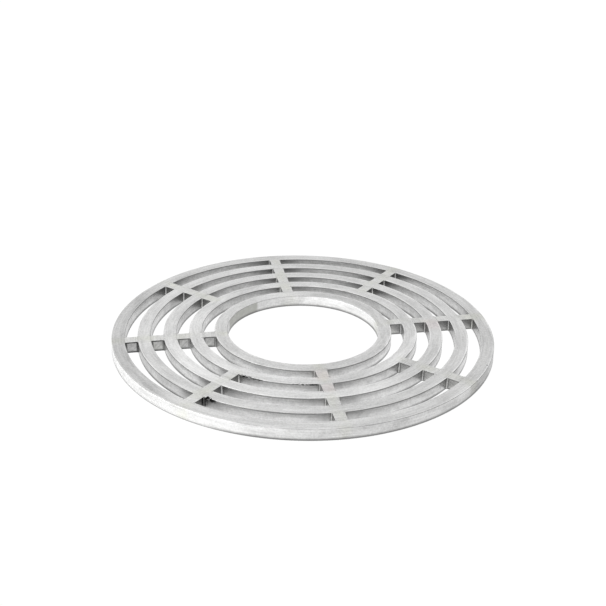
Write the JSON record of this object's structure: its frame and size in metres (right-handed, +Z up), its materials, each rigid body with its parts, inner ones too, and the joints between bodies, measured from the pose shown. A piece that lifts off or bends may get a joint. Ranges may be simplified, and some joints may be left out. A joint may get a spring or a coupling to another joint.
{
  "type": "floor drain grate",
  "caption": "Round flat floor drain grate of concentric rings held apart by short radial bars, with an open centre hole for a standpipe or riser.",
  "frame": {"origin": "centre of the underside, on the axis of the centre hole", "axes": "+Z up out of the walking face; the full spokes lie along X and Y"},
  "size_m": [0.3, 0.3, 0.009],
  "materials": {
    "ring_steel": "satin, brushed around the rings",
    "bar_steel": "satin, ground flush and slightly heat tinted",
    "weld_steel": "bright, as welded and dressed"
  },
  "bodies": {
    "root": {"outer_ring": "ring_steel", "ring_2": "ring_steel", "ring_3": "ring_steel", "ring_4": "ring_steel", "inner_ring": "ring_steel", "spoke_000_bar_1": "bar_steel", "spoke_000_bar_2": "bar_steel", "spoke_000_bar_3": "bar_steel", "spoke_000_bar_4": "bar_steel", "spoke_045_bar_1": "bar_steel", "spoke_045_bar_2": "bar_steel", "spoke_045_bar_3": "bar_steel", "spoke_090_bar_1": "bar_steel", "spoke_090_bar_2": "bar_steel", "spoke_090_bar_3": "bar_steel", "spoke_090_bar_4": "bar_steel", "spoke_135_bar_1": "bar_steel", "spoke_135_bar_2": "bar_steel", "spoke_135_bar_3": "bar_steel", "spoke_180_bar_1": "bar_steel", "spoke_180_bar_2": "bar_steel", "spoke_180_bar_3": "bar_steel", "spoke_180_bar_4": "bar_steel", "spoke_225_bar_1": "bar_steel", "spoke_225_bar_2": "bar_steel", "spoke_225_bar_3": "bar_steel", "spoke_270_bar_1": "bar_steel", "spoke_270_bar_2": "bar_steel", "spoke_270_bar_3": "bar_steel", "spoke_270_bar_4": "bar_steel", "spoke_315_bar_1": "bar_steel", "spoke_315_bar_2": "bar_steel", "spoke_315_bar_3": "bar_steel", "spoke_000_welds": "weld_steel", "spoke_045_welds": "weld_steel", "spoke_090_welds": "weld_steel", "spoke_135_welds": "weld_steel", "spoke_180_welds": "weld_steel", "spoke_225_welds": "weld_steel", "spoke_270_welds": "weld_steel", "spoke_315_welds": "weld_steel"}
  },
  "joints": []
}
